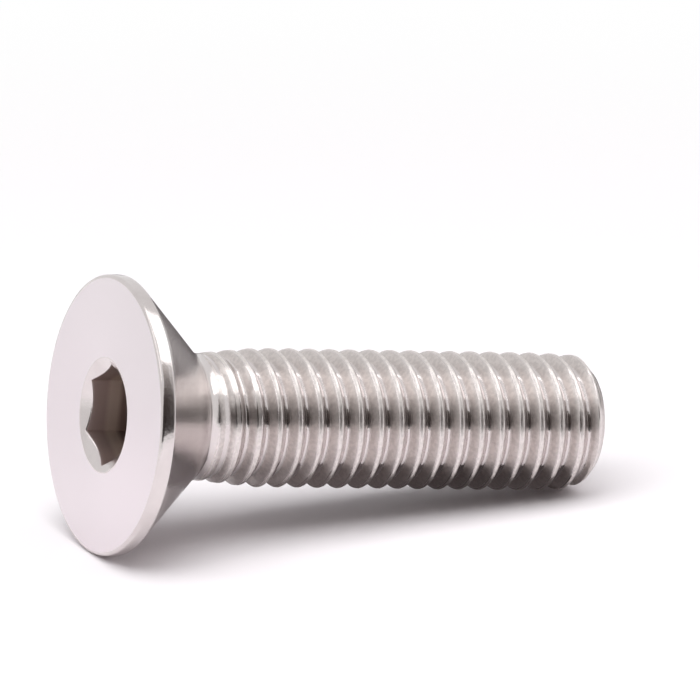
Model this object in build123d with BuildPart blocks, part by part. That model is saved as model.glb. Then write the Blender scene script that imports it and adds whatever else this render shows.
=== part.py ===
from build123d import *
from math import cos, radians, tan
import os

# Countersunk socket screw, M8 x 30, cold headed and thread rolled from one piece of wire.
# It would roll if laid down, so it stands on the flat face of its head: the face is on
# z = 0, the axis is +Z and the tip is up.

# Driving dimensions, mm
screw_length = 29.7         # flat face to tip: nominal 30, and 29.58 to 30.42 is allowed
head_diameter = 15.7        # over the rim
land_height = 0.8           # straight rim between the flat face and the cone
cone_angle = 90.0           # included
face_edge_break = 0.15      # 45 degree bevel
land_edge_radius = 0.16
neck_fillet = 0.3
neck_length = 0.36          # plain wire between the cone and the first mark of the dies
crest_diameter = 7.8        # M8, tolerance 6g
thread_pitch = 1.25
crest_share = 0.272         # of the pitch: crest above the wire, which is the pitch cylinder
root_share = 0.268          # of the pitch: root below it
flank_angle = 60.0          # included
crest_offset = 0.4425       # flat face to a crest on the +X side, less whole pitches
crest_run_out = 3.6         # from the first mark of the dies to the first full crest
root_run_out = 1.9          # from there to the first full root
tip_step = 0.175            # how far inside the roots the chamfer ends
tip_chamfer_angle = 45.0    # to the axis
socket_across_flats = 5.0
socket_depth = 3.0          # of the full hexagon
socket_mouth_margin = 0.29  # round mouth beyond the hexagon's corners, on the radius
socket_mouth_angle = 120.0  # included
socket_floor_angle = 140.0  # included, the blunt point that the punch leaves
socket_turn = 26.8          # a corner of the hexagon stands this far round from +X
sink = 0.1                  # how far joined and trimming surfaces pass each other

# Radii and heights, measured from the flat face
head_radius = head_diameter / 2
crest_radius = crest_diameter / 2
crest_height = crest_share * thread_pitch
root_depth = root_share * thread_pitch
neck_radius = crest_radius - crest_height
root_radius = neck_radius - root_depth
tip_radius = root_radius - tip_step
cone_slope = tan(radians(cone_angle / 2))
neck_bottom = land_height + (head_radius - neck_radius) / cone_slope
run_out_bottom = neck_bottom + neck_length
root_bottom = run_out_bottom + root_run_out

# Tooth of the rolled thread where the helix starts. Crests and roots take half a pitch
# each on the pitch cylinder, and the tooth's base is sunk into the core.
flank_slope = tan(radians(flank_angle / 2))
tooth_base = root_radius - sink
base_half_width = thread_pitch / 4 + (neck_radius - tooth_base) * flank_slope
crest_half_width = thread_pitch / 4 - crest_height * flank_slope
first_turn = int(neck_bottom / thread_pitch)
thread_start = crest_offset + first_turn * thread_pitch
turn_count = int((screw_length - thread_start) / thread_pitch) + 2

# The cone that lets the ridge rise out of the neck, and the one that chamfers the tip,
# both carried on past the surfaces that they cut
trim_radius = crest_radius + sink
blank_top = thread_start + turn_count * thread_pitch + thread_pitch
rise_slope = crest_height / crest_run_out
rise_bottom = run_out_bottom - sink / rise_slope
rise_top = run_out_bottom + (trim_radius - neck_radius) / rise_slope
chamfer_bottom = screw_length - (trim_radius - tip_radius) / tan(radians(tip_chamfer_angle))

# Socket
socket_radius = socket_across_flats / 2
mouth_radius = socket_radius / cos(radians(30)) + socket_mouth_margin
mouth_point = mouth_radius / tan(radians(socket_mouth_angle / 2))
floor_point = socket_depth + socket_radius / tan(radians(socket_floor_angle / 2))

# One turn of the thread's right-hand ridge
with BuildPart() as ridge_turn:
    with BuildLine() as thread_path:
        Helix(thread_pitch, thread_pitch, neck_radius, center=(0, 0, thread_start))
    with BuildSketch(Plane.XZ) as tooth_profile:
        with BuildLine():
            Polyline(
                (tooth_base, thread_start - base_half_width),
                (crest_radius, thread_start - crest_half_width),
                (crest_radius, thread_start + crest_half_width),
                (tooth_base, thread_start + base_half_width),
                close=True,
            )
        make_face()
    sweep(path=thread_path.wire(), is_frenet=True)

with BuildPart() as screw:
    # The ridge, turn on turn
    with Locations(*[(0, 0, turn * thread_pitch) for turn in range(turn_count)]):
        add(ridge_turn.part)

    # Run-out of the crests
    with BuildSketch(Plane.XZ) as rise_profile:
        with BuildLine():
            Polyline(
                (0, rise_bottom),
                (neck_radius - sink, rise_bottom),
                (trim_radius, rise_top),
                (trim_radius, blank_top),
                (0, blank_top),
                close=True,
            )
        make_face()
    revolve(axis=Axis.Z, mode=Mode.INTERSECT)

    # Head, neck and core, with the cone that fills the roots where the thread runs out
    with BuildSketch(Plane.XZ) as body_profile:
        with BuildLine():
            Polyline(
                (0, 0),
                (head_radius, 0),
                (head_radius, land_height),
                (neck_radius, neck_bottom),
                (neck_radius, run_out_bottom),
                (root_radius, root_bottom),
                (root_radius, blank_top),
                (0, blank_top),
                close=True,
            )
        make_face()
        rim_corners = body_profile.vertices().group_by(Axis.X)[-1].sort_by(Axis.Y)
        chamfer(rim_corners[0], face_edge_break)
        rim_corners = body_profile.vertices().group_by(Axis.X)[-1].sort_by(Axis.Y)
        fillet(rim_corners[-1], land_edge_radius)
        neck_corner = body_profile.vertices().sort_by_distance((neck_radius, neck_bottom))[0]
        fillet(neck_corner, neck_fillet)
    revolve(axis=Axis.Z)

    # Chamfered tip
    with BuildSketch(Plane.XZ) as waste_profile:
        with BuildLine():
            Polyline(
                (0, screw_length),
                (tip_radius, screw_length),
                (trim_radius, chamfer_bottom),
                (trim_radius, blank_top + thread_pitch),
                (0, blank_top + thread_pitch),
                close=True,
            )
        make_face()
    revolve(axis=Axis.Z, mode=Mode.SUBTRACT)

    # Hexagon socket with its round mouth and blunt floor
    with BuildSketch(Plane.XY) as socket_outline:
        RegularPolygon(socket_radius, 6, major_radius=False, rotation=socket_turn)
    extrude(amount=socket_depth, mode=Mode.SUBTRACT)
    with BuildSketch(Plane.XZ) as socket_ends:
        with BuildLine():
            Polyline((0, 0), (mouth_radius, 0), (0, mouth_point), close=True)
        make_face()
        with BuildLine():
            Polyline((0, mouth_point), (socket_radius, socket_depth), (0, floor_point), close=True)
        make_face()
    revolve(axis=Axis.Z, mode=Mode.SUBTRACT)

screw.part.label = "screw"
os.makedirs("parts", exist_ok=True)
export_step(screw.part, "parts/screw.step")
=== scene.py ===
import math
import bpy
import numpy as np
from mathutils import Matrix, Vector


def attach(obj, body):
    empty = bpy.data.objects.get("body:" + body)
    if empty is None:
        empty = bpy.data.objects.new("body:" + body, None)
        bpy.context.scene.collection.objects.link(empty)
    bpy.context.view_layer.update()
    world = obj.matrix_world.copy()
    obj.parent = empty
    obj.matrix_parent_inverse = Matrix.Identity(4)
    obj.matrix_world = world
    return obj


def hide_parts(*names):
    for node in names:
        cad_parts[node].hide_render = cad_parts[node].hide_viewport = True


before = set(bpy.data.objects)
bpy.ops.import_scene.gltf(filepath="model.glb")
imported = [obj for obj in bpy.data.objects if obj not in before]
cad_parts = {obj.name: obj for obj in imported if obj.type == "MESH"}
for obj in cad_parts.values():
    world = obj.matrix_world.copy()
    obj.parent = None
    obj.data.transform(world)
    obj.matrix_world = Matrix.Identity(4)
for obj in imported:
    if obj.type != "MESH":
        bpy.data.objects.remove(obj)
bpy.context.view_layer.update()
mm = 0.001

# In the picture the screw lies on a table, on its rim and its thread, while the frame
# stands it on its head. Floor, lamps and camera are placed on the table and turned with it.
table = {
    "axisDip": 8.137,                       # degrees, the axis falls towards the tip
    "faceCentre": (-14.374, 0.0, 7.876),    # mm, where the flat face's centre lies
}
dip = math.radians(table["axisDip"])
tableTurn = Matrix((
    (0, -1, 0),
    (-math.sin(dip), 0, -math.cos(dip)),
    (math.cos(dip), 0, -math.sin(dip)),
))


def onTable(place):
    # A place on the table in mm, as a place in the frame in metres
    return tableTurn @ (Vector(place) - Vector(table["faceCentre"])) * mm


def addNode(tree, kind, inputs=(), links=(), **settings):
    # One node: its settings, the numbers on its sockets, and what is linked into them
    node = tree.nodes.new(kind)
    for name, value in settings.items():
        setattr(node, name, value)
    for socket, value in dict(inputs).items():
        node.inputs[socket].default_value = value
    for socket, source in dict(links).items():
        tree.links.new(source, node.inputs[socket])
    return node


def linearColour(hexColour, alpha=1.0):
    # sRGB hex to linear: each channel c becomes ((c + 0.055) / 1.055) ** 2.4, or c / 12.92
    parts = [int(hexColour[i:i + 2], 16) / 255 for i in (1, 3, 5)]
    return [c / 12.92 if c <= 0.04045 else ((c + 0.055) / 1.055) ** 2.4 for c in parts] + [alpha]


def newMaterial(name):
    # A material with no nodes in it yet, and its tree
    material = bpy.data.materials.new(name)
    material.use_nodes = True
    material.node_tree.nodes.clear()
    return material, material.node_tree


def shadeRamp(tree, share, shades):
    # Colours over a share from 0 to 1, straight between the places given
    ramp = addNode(tree, "ShaderNodeValToRGB", links={0: share})
    while len(ramp.color_ramp.elements) < len(shades):
        ramp.color_ramp.elements.new(0.5)
    for element, (place, hexColour) in zip(ramp.color_ramp.elements, shades):
        element.position = place
        element.color = linearColour(hexColour)
    return ramp.outputs["Color"]


screw = {                       # mm and degrees, heights from the flat face
    "length": 29.7,
    "headRadius": 7.85,
    "landHeight": 0.8,
    "coneAngle": 90.0,
    "faceEdgeRadius": 0.2,
    "landEdgeRadius": 0.14,
    "neckRadius": 3.56,
    "neckFillet": 0.9,
    "crestRadius": 3.9,
    "pitchRadius": 3.56,        # where crests and roots are equally wide
    "rootRadius": 3.225,
    "pitch": 1.25,
    "flankAngle": 60.0,
    "crestOffset": 0.4425,      # flat face to a crest on the +X side, less whole pitches
    "runOutBottom": 5.65,
    "crestRunOut": 3.6,
    "rootRunOut": 2.0,
    "crestRounding": (0.03, 0.19),      # where the crests start, and what it grows by from there
    "rootRounding": (0.05, 0.25),
    "crestWave": 0.012,         # how far the crests rise and fall along the helix
    "crestWaves": ((5.37, 0.0), (8.13, 1.0)),   # waves a turn, and their start in radians
    "leadBottom": 25.0,         # from here the crests fall slightly to the tip
    "leadFall": 0.16,
    "threadEnds": (0.05, 0.1),  # from the neck's fillet and from the tip
    "tipRounding": 0.06,        # where the chamfer cuts the thread
    "tipRadius": 3.05,
    "tipEdge": 0.12,
    "socketRadius": 2.5,        # to the flats
    "socketDepth": 3.0,
    "socketTurn": 26.8,
    "floorAngle": 140.0,
    "floorEdge": (0.985, 0.04), # the floor's share of the hexagon, and the walls' start above it
    "wallBreak": 0.05,          # the broken edge between the socket's walls and mouth
    "mouthAngle": 120.0,
    "mouthRadius": 3.177,
    "mouthEdge": (0.03, 0.004), # how far its rounding reaches, and the height of its middle
    "faceMargins": (0.08, 0.1), # from the face's first row to the mouth, and its last to the edge
    "flankSpan": (0.08, 0.2, 0.46, 0.52),       # from the crest's middle, where it comes and goes
    "crestSpan": (0.08, 0.16),  # where the crest goes
    "threadGrain": 40.0,        # keeps the thread's grain apart from the head's
    "sharpAngle": 35.0,
    "columns": 192,
}

# Rows of the thread within half a pitch, in mm from the crest's middle: close together at
# the corners of crest and root, and apart on the flank
threadRows = (0.0, 0.04, 0.08, 0.12, 0.17, 0.3, 0.41, 0.46, 0.51, 0.56, 0.625)


def softMin(a, b, width):
    # The lower of two curves, rounded where they cross: less h * h * width / 4, with
    # h = 1 at the crossing and 0 where they are a width apart
    h = np.maximum(width - np.abs(a - b), 0) / width
    return np.minimum(a, b) - h * h * width / 4


def softMax(a, b, width):
    # The higher of two curves, rounded where they cross by as much as softMin's
    return -softMin(-a, -b, width)


def smoothStep(value, low, high):
    # 0 below low, 1 above high, and 3 t t - 2 t t t between them
    t = np.clip((value - low) / (high - low), 0, 1)
    return t * t * (3 - 2 * t)


def arcRows(centre, radius, startAngle, endAngle, count):
    # Rows of a rounded corner: centre plus radius times (cosine, sine), as (radius, height)
    turn = np.radians(np.linspace(startAngle, endAngle, count))
    return np.stack([centre[0] + radius * np.cos(turn), centre[1] + radius * np.sin(turn)], 1)


def threadRadius(height, angle, part):
    # Radius of the thread at a height and an angle: a V along the helix, cut off at the
    # crest and the root. Both run out towards the neck in a straight line. The crest falls
    # to the tip with the square of the way, and rises and falls by the product of two sines.
    pitch = part["pitch"]
    along = (height - part["crestOffset"]) / pitch - angle / (2 * np.pi)
    phase = np.abs(along - np.round(along)) * pitch
    slope = math.tan(math.radians(part["flankAngle"] / 2))
    vee = part["pitchRadius"] + (pitch / 4 - phase) / slope
    climb = np.clip((height - part["runOutBottom"]) / part["crestRunOut"], 0, 1)
    crests = part["neckRadius"] + (part["crestRadius"] - part["neckRadius"]) * climb
    lead = np.clip((height - part["leadBottom"]) / (part["length"] - part["leadBottom"]), 0, 1)
    crests = crests - part["leadFall"] * lead * lead
    turned = 2 * np.pi * height / pitch
    wave = part["crestWave"] * climb
    for count, start in part["crestWaves"]:
        wave = wave * np.sin(count * turned + start)
    crests = crests + wave
    sinking = np.clip((height - part["runOutBottom"]) / part["rootRunOut"], 0, 1)
    roots = part["neckRadius"] - (part["neckRadius"] - part["rootRadius"]) * sinking
    least, growth = part["rootRounding"]
    thread = softMax(vee, roots, least + growth * sinking)
    least, growth = part["crestRounding"]
    thread = softMin(thread, crests, least + growth * climb)
    chamfer = part["tipRadius"] + part["length"] - height
    return softMin(thread, chamfer, part["tipRounding"])


def makeScrew(part):
    # One closed surface on a grid: a column is an angle, and a row a radius and a height
    # at every angle. The rows are the socket's floor and walls, its mouth, the head's
    # profile and neck, the thread, whose rows climb a pitch a turn, and the tip. The last
    # column stands on the first, a pitch further up the thread, and is welded to it.
    columns = part["columns"]
    step = 2 * np.pi / columns
    turn = math.radians(part["socketTurn"])
    angle = turn % step + step * np.arange(columns + 1)
    hexagon = part["socketRadius"] / np.cos((angle - turn) % (np.pi / 3) - np.pi / 6)
    mouthSlope = math.tan(math.radians(part["mouthAngle"] / 2))
    floorSlope = math.tan(math.radians(part["floorAngle"] / 2))

    rows = []

    def addRow(radius, height):
        rows.append(np.stack(np.broadcast_arrays(radius, height, angle)[:2], 1))

    for share in (0, 0.25, 0.5, 0.75, 0.97):
        addRow(share * part["socketRadius"],
               part["socketDepth"] + part["socketRadius"] * (1 - share) / floorSlope)
    floorShare, wallStart = part["floorEdge"]
    addRow(hexagon * floorShare, part["socketDepth"])
    wallBottom = part["socketDepth"] - wallStart
    wallTop = (part["mouthRadius"] - hexagon) / mouthSlope
    wallBreak = part["wallBreak"]
    for share in (0, 0.3, 0.6, 0.9, 1.0):
        addRow(hexagon, wallBottom + (wallTop + wallBreak - wallBottom) * share)
    socketRows = len(rows)
    addRow(hexagon + 0.3 * wallBreak, wallTop + 0.1 * wallBreak)
    addRow(hexagon + wallBreak, wallTop - wallBreak / mouthSlope)
    for share in (0.5, 0.75):
        addRow(hexagon + (part["mouthRadius"] - hexagon) * share, wallTop * (1 - share))
    reach, middle = part["mouthEdge"]
    for radius, height in ((-reach, reach / mouthSlope), (0.0, middle), (reach, 0.0)):
        addRow(part["mouthRadius"] + radius, height)
    mouthRows = len(rows)
    edge = part["faceEdgeRadius"]
    inner, outer = part["faceMargins"]
    for radius in np.linspace(part["mouthRadius"] + inner, part["headRadius"] - edge - outer, 6):
        addRow(radius, 0.0)
    faceRows = len(rows)
    rim = arcRows((part["headRadius"] - edge, edge), edge, -90, 0, 7)
    land = part["landEdgeRadius"]
    coneTurn = 90 - part["coneAngle"] / 2
    landTop = part["landHeight"] - land * math.tan(math.radians(coneTurn / 2))
    brow = arcRows((part["headRadius"] - land, landTop), land, 0, coneTurn, 6)
    coneSlope = math.tan(math.radians(part["coneAngle"] / 2))
    neckHeight = part["landHeight"] + (part["headRadius"] - part["neckRadius"]) / coneSlope
    fillet = part["neckFillet"]
    filletTop = neckHeight + fillet * math.tan(math.radians(coneTurn / 2))
    neck = arcRows((part["neckRadius"] + fillet, filletTop), fillet, 180 + coneTurn, 180, 7)
    cone = brow[-1] + (neck[0] - brow[-1]) * np.linspace(0, 1, 12)[1:-1, None]
    for radius, height in np.concatenate([rim, brow, cone, neck]):
        addRow(radius, height)
    head = np.array(rows)

    # Thread: where a row would leave the threaded length it stays on its end ring
    pitch = part["pitch"]
    half = np.array(threadRows)
    phases = np.concatenate([half, pitch - half[-2:0:-1]])
    perPitch = len(phases)
    bottom, top = neck[-1][1] + part["threadEnds"][0], part["length"] - part["threadEnds"][1]
    firstTurn = math.floor((bottom - part["crestOffset"]) / pitch) - 1
    turns = math.ceil((top - bottom) / pitch) + 2
    climb = part["crestOffset"] + pitch * (firstTurn + np.arange(turns)[:, None]) + phases
    heights = climb.reshape(-1, 1) + pitch * angle / (2 * np.pi)
    heights = np.clip(heights, bottom, top)
    thread = np.stack([threadRadius(heights, angle[None, :], part), heights], 2)

    rows = []
    tipEdge = part["tipEdge"]
    for radius, height in arcRows((part["tipRadius"] - tipEdge, part["length"] - tipEdge),
                                  tipEdge, 45, 90, 4):
        addRow(radius, height)
    for share in (0.8, 0.5, 0.2, 0):
        addRow(part["tipRadius"] * share, part["length"])
    tip = np.array(rows)

    surface = np.concatenate([head, thread, tip])
    radius, height = surface[..., 0], surface[..., 1]
    points = np.stack([radius * np.cos(angle), radius * np.sin(angle), height], 2) * mm

    # The grain that the making left, in mm. On head and tip it is the way along the
    # profile and a circle round the axis. On the thread it is the way from the crest's
    # middle and the way along the helix, and both change turn in the middle of the root.
    # The zones are 1 on the flanks and -1 on the crests, 1 in the socket, and 1 on the face: they
    # set each zone's roughness and its painted highlight or shade.
    profile = np.cumsum(np.hypot(*np.diff(surface.mean(1), axis=0, prepend=0).T))
    circle = part["headRadius"] * np.stack([np.cos(angle), np.sin(angle)], 1)
    count = len(surface) - 1
    grain = np.zeros((count, 4, columns, 3))
    flank, crest = np.zeros((2, count, 4, columns))
    corners = ((0, 0), (0, 1), (1, 1), (1, 0))
    row = np.arange(count)
    inThread = (row >= len(head)) & (row < len(head) + len(thread) - 1)
    number = row[inThread] - len(head)
    helixTurn = (number + perPitch // 2) // perPitch
    fullPhases = np.concatenate([phases, [pitch]])
    for place, (up, on) in enumerate(corners):
        here = slice(on, columns + on)
        grain[:, place, :, 0] = profile[row + up, None]
        grain[:, place, :, 1:] = circle[None, here]
        beside = fullPhases[number % perPitch + up] - pitch * (helixTurn - number // perPitch)
        grain[inThread, place, :, 0] = beside[:, None]
        turned = 2 * np.pi * helixTurn[:, None] + angle[here]
        grain[inThread, place, :, 1] = part["pitchRadius"] * turned
        grain[inThread, place, :, 2] = part["threadGrain"]
        away = np.abs(beside)[:, None]
        comes, goes = part["flankSpan"][:2], part["flankSpan"][2:]
        flank[inThread, place] = smoothStep(away, *comes) * (1 - smoothStep(away, *goes))
        crest[inThread, place] = 1 - smoothStep(away, *part["crestSpan"])
    zones = np.zeros((count, 4, columns, 3))
    zones[..., 0] = flank - crest
    zones[:socketRows - 1, :, :, 1] = 1.0
    zones[mouthRows:faceRows, :, :, 2] = 1.0

    index = np.arange(points.shape[0] * (columns + 1)).reshape(-1, columns + 1)
    quads = np.stack([index[:-1, :-1], index[:-1, 1:], index[1:, 1:], index[1:, :-1]], 2)
    mesh = weldedMesh("rolledScrew", points.reshape(-1, 3), quads.reshape(-1, 4), {
        "grain": grain.transpose(0, 2, 1, 3).reshape(-1, 4, 3),
        "zones": zones.transpose(0, 2, 1, 3).reshape(-1, 4, 3),
    })
    mesh.shade_smooth()
    mesh.set_sharp_from_angle(angle=math.radians(part["sharpAngle"]))
    piece = bpy.data.objects.new("rolledScrew", mesh)
    bpy.context.scene.collection.objects.link(piece)
    return piece


def weldedMesh(name, points, quads, attributes):
    # Grid corners at the same place become one. A quad becomes two triangles, and those
    # that have lost a side go. Attributes are vectors at the corners of each quad.
    keys, first, back = np.unique(np.round(points * 1e8).astype(np.int64), axis=0,
                                  return_index=True, return_inverse=True)
    corners = back.reshape(-1)[quads]
    halves = ([0, 1, 2], [0, 2, 3])
    triangles = np.concatenate([corners[:, half] for half in halves])
    a, b, c = triangles.T
    whole = (a != b) & (b != c) & (c != a)
    mesh = bpy.data.meshes.new(name)
    mesh.from_pydata(points[first].tolist(), [], triangles[whole].tolist())
    for label, values in attributes.items():
        layer = mesh.attributes.new(label, "FLOAT_VECTOR", "CORNER")
        spread = np.concatenate([values[:, half] for half in halves])[whole]
        layer.data.foreach_set("vector", spread.astype(np.float32).ravel())
    mesh.update()
    return mesh


steel = {
    "colour": "#dcd5d4",
    "smudgeColour": "#d2cac9",
    # Painted light: the flanks are a little darker than the steel, as painted shade, and the
    # crests and the flat face lighter, as painted highlight
    "flankColour": "#d5cdca",
    "crestColour": "#e6dfdc",
    "faceColour": "#e6dee1",
    "socketPaintedShades": ((0.0, "#c4b3af"), (0.4, "#c2b2ae"), (0.5, "#d8cdc4"), (0.66, "#dacfc6"),
                     (0.76, "#a08f89"), (1.0, "#94847e")),  # painted shade and light by depth, from the mouth down: a lighter band partway, then darker towards the floor
    "roughness": 0.15,
    "smudgeRoughness": 0.19,        # where it is handled
    "flankRoughness": 0.34,
    "crestRoughness": 0.38,         # where the two sides of the rolled ridge met
    "faceRoughness": 0.30,
    "socketRoughness": 0.36,
    "anisotropy": 0.65,
    "anisotropyTurn": 0.25,         # across the marks, from the tangent round the axis
    "smudgeSize": 3.0,              # mm
    "smudgeSpan": (0.42, 0.68),     # of the noise, from clean to smudged
    "markWidth": 0.14,              # mm, drawn twice as coarse as the real marks to show
    "markLength": 3.5,              # mm
    "markHeight": 0.004,            # mm
    "speckSize": 0.22,              # mm
    "speckSpan": (0.4, 0.6),        # of the noise, from a speck to none
    "speckShade": 0.86,             # how dark the thread's specks are
    "speckHeight": 0.005,           # mm
    "evenShade": 0.98,              # of the metal away from the thread, which has no specks
    "faceEvenness": 0.08,           # what the flat face keeps of marks and specks
}


def stainlessSteel(look, socketDepth):
    # A2 stainless wire, cold headed and thread rolled: bright and faintly warm, with fine
    # marks along the way the dies ran, which draw reflections out across themselves. Painted shade
    # darkens it down the socket, and crests and flat face are painted lighter, flanks a little
    # darker
    material, tree = newMaterial("rolledStainlessSteel")
    place = addNode(tree, "ShaderNodeTexCoord").outputs["Object"]
    zones = addNode(tree, "ShaderNodeAttribute", attribute_name="zones").outputs["Vector"]
    zones = addNode(tree, "ShaderNodeSeparateXYZ", links={0: zones})
    flank, socket, face = zones.outputs
    crest = addNode(tree, "ShaderNodeMath", {1: -1.0}, {0: flank}, operation="MULTIPLY")
    grain = addNode(tree, "ShaderNodeAttribute", attribute_name="grain").outputs["Vector"]
    along = 1 / look["markLength"]
    grain = addNode(tree, "ShaderNodeMapping", {"Scale": (1 / look["markWidth"], along, along)},
                    {"Vector": grain}).outputs[0]
    marks = addNode(tree, "ShaderNodeTexNoise", {"Scale": 1.0, "Detail": 3.0},
                    {"Vector": grain}).outputs["Fac"]
    smudge = addNode(tree, "ShaderNodeTexNoise",
                     {"Scale": 1 / (look["smudgeSize"] * mm), "Detail": 4.0, "Roughness": 0.62},
                     {"Vector": place}).outputs["Fac"]
    clean, smudged = look["smudgeSpan"]
    smudge = addNode(tree, "ShaderNodeMapRange", {"From Min": clean, "From Max": smudged},
                     {"Value": smudge}).outputs["Result"]
    speck = addNode(tree, "ShaderNodeTexNoise",
                    {"Scale": 1 / (look["speckSize"] * mm), "Detail": 2.0},
                    {"Vector": place}).outputs["Fac"]

    colour = addNode(tree, "ShaderNodeMix", {
        "A": linearColour(look["colour"]), "B": linearColour(look["smudgeColour"])},
        {"Factor": smudge}, data_type="RGBA").outputs["Result"]
    rough = addNode(tree, "ShaderNodeMapRange", {
        "To Min": look["roughness"], "To Max": look["smudgeRoughness"]},
        {"Value": smudge}).outputs["Result"]
    # Painted highlight and shade: crests and flat face take a lighter copy of the steel's colour,
    # flanks a darker one, each with its own roughness
    for share, zone in ((flank, "flank"), (crest.outputs[0], "crest"), (face, "face")):
        colour = addNode(tree, "ShaderNodeMix", {"B": linearColour(look[zone + "Colour"])},
                         {"Factor": share, "A": colour}, data_type="RGBA").outputs["Result"]
        rough = addNode(tree, "ShaderNodeMix", {"B": look[zone + "Roughness"]},
                        {"Factor": share, "A": rough}, data_type="FLOAT").outputs["Result"]
    dark, plain = look["speckSpan"]
    shade = addNode(tree, "ShaderNodeMapRange", {
        "From Min": dark, "From Max": plain, "To Min": look["speckShade"], "To Max": 1.0},
        {"Value": speck}).outputs["Result"]
    thread = addNode(tree, "ShaderNodeMath", links={0: flank}, operation="ABSOLUTE").outputs[0]
    shade = addNode(tree, "ShaderNodeMix", {"A": look["evenShade"]},
                    {"Factor": thread, "B": shade}, data_type="FLOAT").outputs["Result"]
    colour = addNode(tree, "ShaderNodeVectorMath", links={0: colour, "Scale": shade},
                     operation="SCALE").outputs["Vector"]
    # Painted shade and light down the socket: its colour follows the depth, darker towards the
    # floor
    depth = addNode(tree, "ShaderNodeSeparateXYZ", links={0: place}).outputs["Z"]
    depth = addNode(tree, "ShaderNodeMath", {1: socketDepth * mm}, {0: depth}, operation="DIVIDE")
    socketPaintedShade = shadeRamp(tree, depth.outputs[0], look["socketPaintedShades"])
    colour = addNode(tree, "ShaderNodeMix", links={"Factor": socket, "A": colour, "B": socketPaintedShade},
                     data_type="RGBA").outputs["Result"]
    rough = addNode(tree, "ShaderNodeMix", {"B": look["socketRoughness"]},
                    {"Factor": socket, "A": rough}, data_type="FLOAT").outputs["Result"]

    strength = addNode(tree, "ShaderNodeMapRange", {"To Min": 1.0, "To Max": look["faceEvenness"]},
                       {"Value": face}).outputs["Result"]
    bump = addNode(tree, "ShaderNodeBump", {"Distance": look["markHeight"] * mm},
                   {"Height": marks, "Strength": strength})
    bump = addNode(tree, "ShaderNodeBump", {"Distance": look["speckHeight"] * mm},
                   {"Height": speck, "Strength": strength, "Normal": bump.outputs[0]})
    tangent = addNode(tree, "ShaderNodeTangent", direction_type="RADIAL", axis="Z")
    shader = addNode(tree, "ShaderNodeBsdfPrincipled", {
        "Metallic": 1.0,
        "Anisotropic": look["anisotropy"],
        "Anisotropic Rotation": look["anisotropyTurn"],
    }, {
        "Base Color": colour,
        "Roughness": rough,
        "Normal": bump.outputs[0],
        "Tangent": tangent.outputs[0],
    })
    addNode(tree, "ShaderNodeOutputMaterial", links={"Surface": shader.outputs["BSDF"]})
    return material


rolledScrew = makeScrew(screw)
rolledScrew.data.materials.append(stainlessSteel(steel, screw["socketDepth"]))
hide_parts("screw")
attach(rolledScrew, "root")
print("screw made:", len(rolledScrew.data.polygons), "faces")

studio = {
    "floorColour": "#fbf7fa",
    "floorSize": 1200.0,                    # mm
    "glowFrom": 35.0,                       # mm from the screw's middle
    "glowTo": 110.0,
    "softbox": {"place": (110.0, -40.0, 260.0), "size": (900.0, 240.0), "radiance": 1.2},
    "fill": {"place": (-150.0, -70.0, 260.0), "size": (360.0, 240.0), "radiance": 2.75},
    "backdropLight": 0.38,                  # of the backdrop's white, in the light on the table
    "backdropGlint": 0.88,                  # and in the metal
    "cardRadius": 260.0,                    # mm round the screw
    "cardTop": 58.0,                        # degrees above the table
    "cardRows": 60,
    "cardEnds": (-380.0, 182.0),            # mm along the table
    "cardStep": 455.0,                      # mm, how far its left end steps in
    "cardStepSpan": (0.54, 0.7),            # over this share of its height
    "cardSlant": 60.0,                      # mm, how far its right end leans in at the top
    "cardShades": ((0.0, "#2b2625"), (0.5, "#453e3b"), (0.75, "#7d7672"), (1.0, "#d0cac6")),
    "shadowSheetRows": ((-15.0, 14.0), (-9.0, 14.0), (-5.0, -3.0), (5.0, -3.0), (12.8, -3.0),
                  (17.0, 14.0), (140.0, 14.0)),     # mm: its x and its front edge
    "shadowSheetBack": 120.0,
    "shadowSheetHeight": 0.5,
    # painted shade in the metal's reflection, darkest under the thread
    "shadowSheetShades": ((0.0, "#857c7d"), (0.17, "#857c7d"), (0.33, "#726a6b"), (0.5, "#474142"),
                    (1.0, "#6b6465")),
}


def makeFloor(look):
    # A square on the table. Away from the screw it glows to the backdrop's white, as a lit
    # cove does, and seen from below it lets the camera through.
    half = look["floorSize"] / 2
    corners = [onTable((x * half, y * half, 0.0)) for x, y in ((-1, -1), (1, -1), (1, 1), (-1, 1))]
    mesh = bpy.data.meshes.new("tableTop")
    mesh.from_pydata([list(corner) for corner in corners], [], [(0, 1, 2, 3)])
    material, tree = newMaterial("whiteTable")
    paint = addNode(tree, "ShaderNodeBsdfDiffuse", {"Color": linearColour(look["floorColour"])})
    glow = addNode(tree, "ShaderNodeEmission", {"Color": (1, 1, 1, 1)})
    place = addNode(tree, "ShaderNodeTexCoord").outputs["Object"]
    away = addNode(tree, "ShaderNodeVectorMath", {1: onTable((0, 0, 0))}, {0: place},
                   operation="DISTANCE")
    share = addNode(tree, "ShaderNodeMapRange",
                    {"From Min": look["glowFrom"] * mm, "From Max": look["glowTo"] * mm},
                    {"Value": away.outputs["Value"]}, interpolation_type="SMOOTHSTEP")
    paint = addNode(tree, "ShaderNodeMixShader", links={
        0: share.outputs["Result"], 1: paint.outputs[0], 2: glow.outputs[0]})
    clear = addNode(tree, "ShaderNodeBsdfTransparent")
    below = addNode(tree, "ShaderNodeNewGeometry")
    mix = addNode(tree, "ShaderNodeMixShader", links={
        0: below.outputs["Backfacing"], 1: paint.outputs[0], 2: clear.outputs[0]})
    addNode(tree, "ShaderNodeOutputMaterial", links={"Surface": mix.outputs[0]})
    mesh.materials.append(material)
    floor = bpy.data.objects.new("tableTop", mesh)
    bpy.context.scene.collection.objects.link(floor)
    return floor


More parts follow.
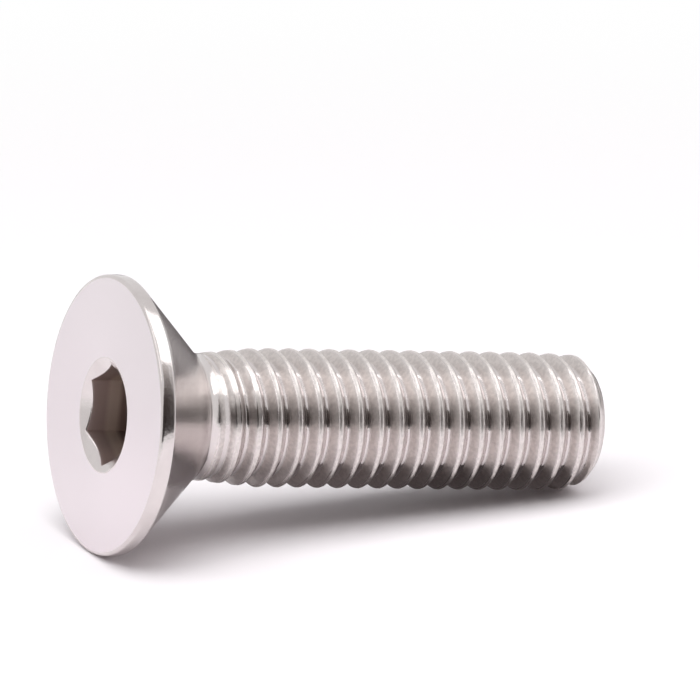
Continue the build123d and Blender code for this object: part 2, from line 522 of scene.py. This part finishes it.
def makeSoftbox(name, look):
    # A soft light that hangs level over the table, placed and measured in mm on it. Its
    # watts are radiance times pi times its area.
    width, depth = [side * mm for side in look["size"]]
    data = bpy.data.lights.new(name, "AREA")
    data.shape = "RECTANGLE"
    data.size, data.size_y = width, depth
    data.energy = look["radiance"] * math.pi * width * depth
    lamp = bpy.data.objects.new(name, data)
    lamp.matrix_world = Matrix.Translation(onTable(look["place"])) @ tableTurn.to_4x4()
    bpy.context.scene.collection.objects.link(lamp)
    return lamp


def makeCard(name, places, shades):
    # A card that the camera can't see, which glows with its shades: rows of two places on the
    # table, and its shades, even over the rows from the first to the last
    rows = len(places) // 2
    mesh = bpy.data.meshes.new(name)
    mesh.from_pydata([list(onTable(place)) for place in places], [],
                     [(i, i + 1, i + 3, i + 2) for i in range(0, 2 * rows - 2, 2)])
    share = mesh.attributes.new("share", "FLOAT", "POINT")
    share.data.foreach_set("value", np.repeat(np.linspace(0, 1, rows), 2))
    material, tree = newMaterial(name)
    share = addNode(tree, "ShaderNodeAttribute", attribute_name="share").outputs["Fac"]
    cardEmission = addNode(tree, "ShaderNodeEmission", links={"Color": shadeRamp(tree, share, shades)})
    addNode(tree, "ShaderNodeOutputMaterial", links={"Surface": cardEmission.outputs[0]})
    mesh.materials.append(material)
    card = bpy.data.objects.new(name, mesh)
    card.visible_camera = False
    bpy.context.scene.collection.objects.link(card)
    return card


def makeDarkCard(look):
    # Bent round the front of the table: its rows are radius times (cosine, sine) of the
    # height angle. Its left end steps in smoothly part of the way up, and its right end
    # leans in as the square of that angle.
    places = []
    left, right = look["cardEnds"]
    radius = look["cardRadius"]
    for share in np.linspace(0, 1, look["cardRows"]):
        turn = math.radians(look["cardTop"] * share)
        for x in (left + look["cardStep"] * smoothStep(share, *look["cardStepSpan"]),
                  right - look["cardSlant"] * share * share):
            places.append((x, -radius * math.cos(turn), radius * math.sin(turn)))
    return makeCard("darkCard", places, look["cardShades"])


def makePaintedShadowSheet(look):
    # A grey sheet of painted shade that lies level behind and under the screw, and only the metal
    # sees it: a painted reflection of the shade on the table there, darkest under the thread
    places = [(x, y, look["shadowSheetHeight"])
              for x, front in look["shadowSheetRows"] for y in (look["shadowSheetBack"], front)]
    shadowSheet = makeCard("paintedShadowSheet", places, look["shadowSheetShades"])
    shadowSheet.visible_diffuse = False
    shadowSheet.visible_shadow = False
    return shadowSheet


def makeWorld(look):
    # A white backdrop: 1 to the camera, straight on or through the table from below, a
    # little less in the metal, and far less in the light on the table
    world = bpy.data.worlds.new("studio")
    world.use_nodes = True
    tree = world.node_tree
    tree.nodes.clear()
    path = addNode(tree, "ShaderNodeLightPath")
    glint = addNode(tree, "ShaderNodeMapRange", {
        "To Min": look["backdropLight"], "To Max": look["backdropGlint"]},
        {"Value": path.outputs["Is Glossy Ray"]})
    seen = addNode(tree, "ShaderNodeMath", links={
        0: path.outputs["Is Camera Ray"], 1: path.outputs["Is Transmission Ray"]})
    strength = addNode(tree, "ShaderNodeMix", {"B": 1.0}, {
        "Factor": seen.outputs[0], "A": glint.outputs["Result"]}, data_type="FLOAT")
    backdrop = addNode(tree, "ShaderNodeBackground", {"Color": (1, 1, 1, 1)},
                       {"Strength": strength.outputs["Result"]})
    addNode(tree, "ShaderNodeOutputWorld", links={"Surface": backdrop.outputs[0]})
    bpy.context.scene.world = world


camera = {
    "azimuth": -24.11,          # degrees round the table, from its -Y side
    "elevation": 17.29,
    "distance": 902.0,          # mm
    "pictureWidth": 700.0,      # pixels
    "pixelsPerMm": 17.822,      # at that distance
    "sensorWidth": 36.0,        # mm
    "right": 0.184,             # mm, the picture's middle from the screw's
    "up": 3.856,
    "screwMiddle": 15.0,        # mm along the axis from the flat face
    "clip": (0.01, 10.0),       # m
}


def makeCamera(look):
    # Stands back from the screw's middle by the distance, in the direction that azimuth and
    # elevation give, and is moved to the right and up in its own picture. The lens is the
    # distance times the sensor's width, over the width in mm that the picture spans there.
    turn, rise = math.radians(look["azimuth"]), math.radians(look["elevation"])
    level = math.cos(rise)
    back = Vector((math.sin(turn) * level, -math.cos(turn) * level, math.sin(rise)))
    right = Vector((math.cos(turn), math.sin(turn), 0))
    upward = back.cross(right)
    along = Vector((math.cos(dip), 0, -math.sin(dip)))
    middle = Vector(table["faceCentre"]) + along * look["screwMiddle"]
    middle = middle + right * look["right"] + upward * look["up"]
    data = bpy.data.cameras.new("camera")
    data.sensor_width = look["sensorWidth"]
    data.lens = look["pixelsPerMm"] * look["distance"] / look["pictureWidth"] * look["sensorWidth"]
    data.clip_start, data.clip_end = look["clip"]
    eye = bpy.data.objects.new("camera", data)
    turned = Matrix([tableTurn @ right, tableTurn @ upward, tableTurn @ back]).transposed()
    place = Matrix.Translation(onTable(middle + back * look["distance"]))
    eye.matrix_world = place @ turned.to_4x4()
    bpy.context.scene.collection.objects.link(eye)
    bpy.context.scene.camera = eye


makeFloor(studio)
makeSoftbox("softbox", studio["softbox"])
makeSoftbox("fill", studio["fill"]).visible_glossy = False
makeDarkCard(studio)
makePaintedShadowSheet(studio)
makeWorld(studio)
makeCamera(camera)
bpy.context.scene.view_settings.view_transform = "Standard"
print("table, light and camera made")
